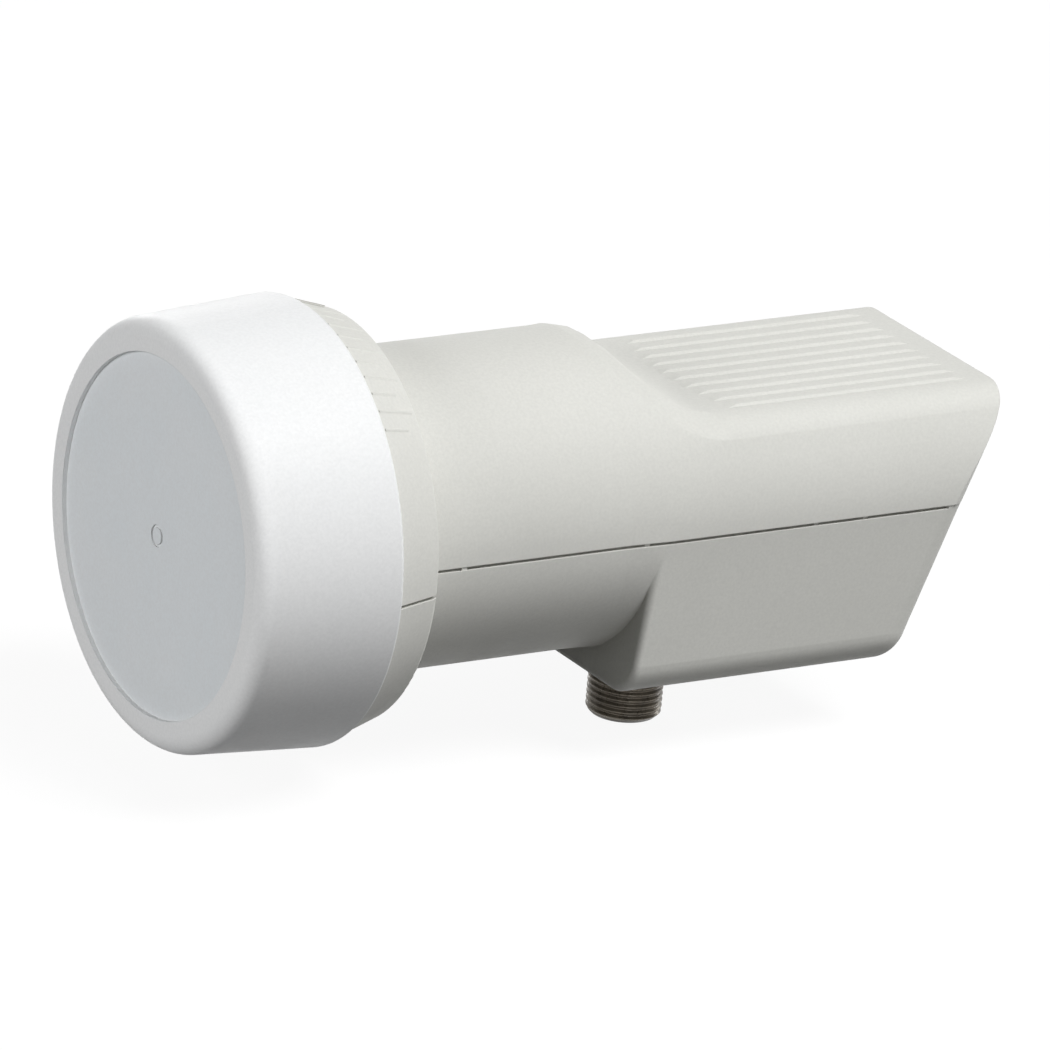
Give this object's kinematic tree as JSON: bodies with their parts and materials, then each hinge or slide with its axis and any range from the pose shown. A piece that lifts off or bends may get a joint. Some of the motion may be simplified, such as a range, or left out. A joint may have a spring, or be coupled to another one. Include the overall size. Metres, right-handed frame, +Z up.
{
  "type": "satellite lnb",
  "caption": "Satellite LNB: white feed cap on a round clamp neck, split grey housing with a ribbed flat top, and a threaded F connector below that feeds the down-converted signal to a cable.",
  "frame": {"origin": "middle of the round neck, on the feed axis", "axes": "+X along the feed axis from the cap to the rear, +Z up, away from the connector, +Y to the left seen from the cap"},
  "size_m": [0.1107, 0.0556, 0.0592],
  "materials": {
    "cap_white": "satin",
    "housing_grey": "fine matte",
    "connector_metal": "dull nickel plating",
    "insulator_white": "matte",
    "contact_brass": "polished",
    "seal_rubber": "matte",
    "die_cast": "as cast",
    "lid_metal": "pressed sheet",
    "screw_steel": "zinc plated",
    "board_green": "solder mask",
    "chip_black": "moulded",
    "capacitor_tan": "ceramic",
    "absorber_grey": "matte"
  },
  "bodies": {
    "root": {"feed_cap": "cap_white", "upper_housing": "housing_grey", "lower_housing": "housing_grey", "connector_barrel": "connector_metal", "connector_insulator": "insulator_white", "connector_contact": "contact_brass", "connector_seal": "seal_rubber", "waveguide_casting": "die_cast", "cap_seal": "seal_rubber", "chassis_lid": "lid_metal", "lid_gasket": "seal_rubber", "lid_screws": "screw_steel", "circuit_board": "board_green", "board_screws": "screw_steel", "vertical_probe": "contact_brass", "horizontal_probe": "contact_brass", "probe_beads": "insulator_white", "isolation_pin": "contact_brass", "lna_transistors": "chip_black", "downconverter_ic": "chip_black", "reference_crystal": "screw_steel", "voltage_regulator": "chip_black", "chip_capacitors": "capacitor_tan", "absorber_pad": "absorber_grey"}
  },
  "joints": []
}
